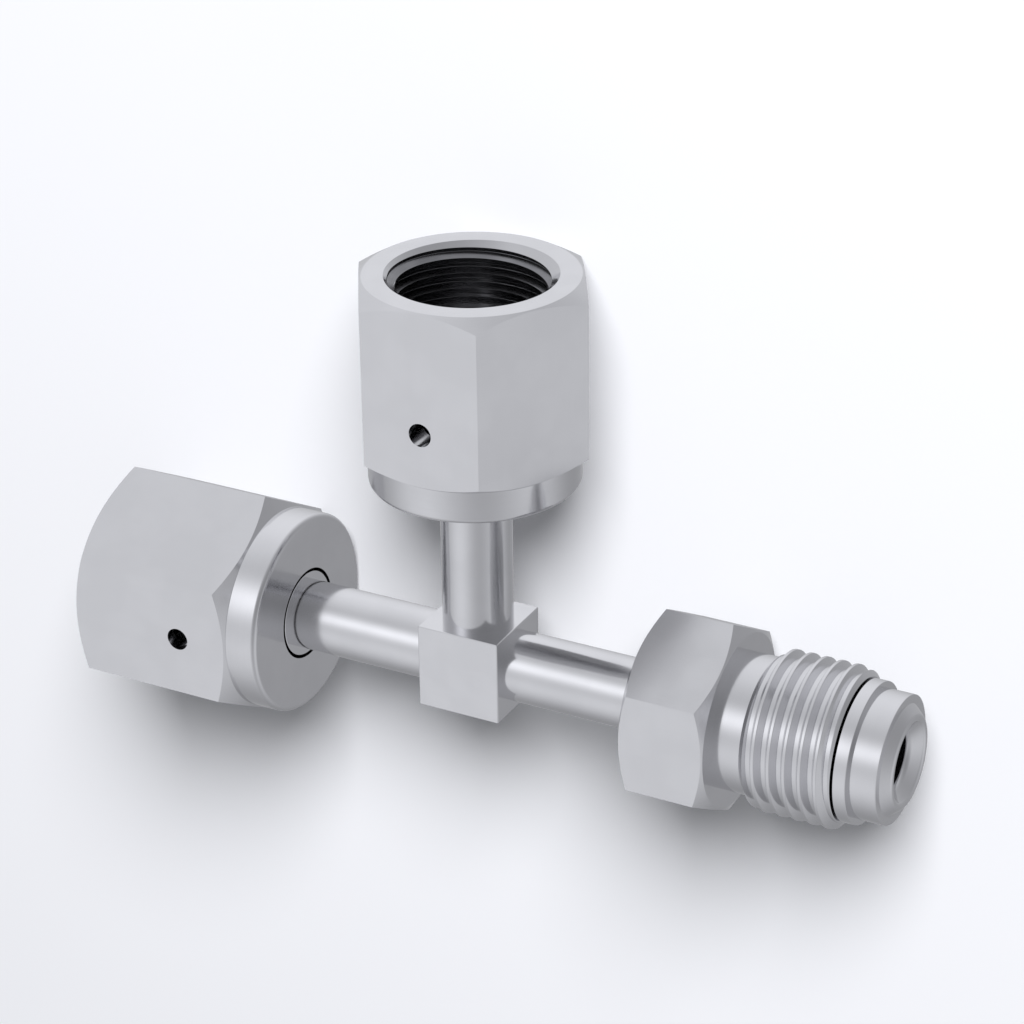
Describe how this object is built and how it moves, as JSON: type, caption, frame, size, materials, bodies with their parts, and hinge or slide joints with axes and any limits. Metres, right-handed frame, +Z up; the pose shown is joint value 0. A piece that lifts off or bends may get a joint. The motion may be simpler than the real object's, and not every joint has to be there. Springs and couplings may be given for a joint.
{
  "type": "metal gasket face seal union tee",
  "caption": "Stainless steel face seal union tee: a cube block with round arms, swivelling female nuts on the branch and one end of the run, and a swivelling male nut on the other end.",
  "frame": {"origin": "centre of the flat lower face of the block, under the crossing of the bores, with the tee lying flat", "axes": "+X along the run from the female nut to the male nut, +Y along the branch, +Z up, out of the opposite face of the block"},
  "size_m": [0.0778, 0.0478, 0.0191],
  "materials": {
    "polished_body": "polished stainless steel, smooth",
    "polished_gland": "mirror polished stainless steel",
    "machined_nut": "bright machined stainless steel"
  },
  "bodies": {
    "welded_tee": {"tee_body": "polished_body", "run_female_gland": "polished_gland", "branch_female_gland": "polished_gland", "run_male_gland": "polished_gland"},
    "run_female_nut": {"run_female_nut": "machined_nut"},
    "branch_female_nut": {"branch_female_nut": "machined_nut"},
    "run_male_nut": {"run_male_nut": "machined_nut"}
  },
  "joints": [
    {"name": "run_female_nut_turn", "type": "hinge", "parent": "welded_tee", "child": "run_female_nut", "pos_m": [-0.02731, 0, 0.00397], "axis": [-1, 0, 0], "continuous": true},
    {"name": "branch_female_nut_turn", "type": "hinge", "parent": "welded_tee", "child": "branch_female_nut", "pos_m": [0, 0.02731, 0.00397], "axis": [0, 1, 0], "continuous": true},
    {"name": "run_male_nut_turn", "type": "hinge", "parent": "welded_tee", "child": "run_male_nut", "pos_m": [0.0269, 0, 0.00397], "axis": [1, 0, 0], "continuous": true}
  ]
}
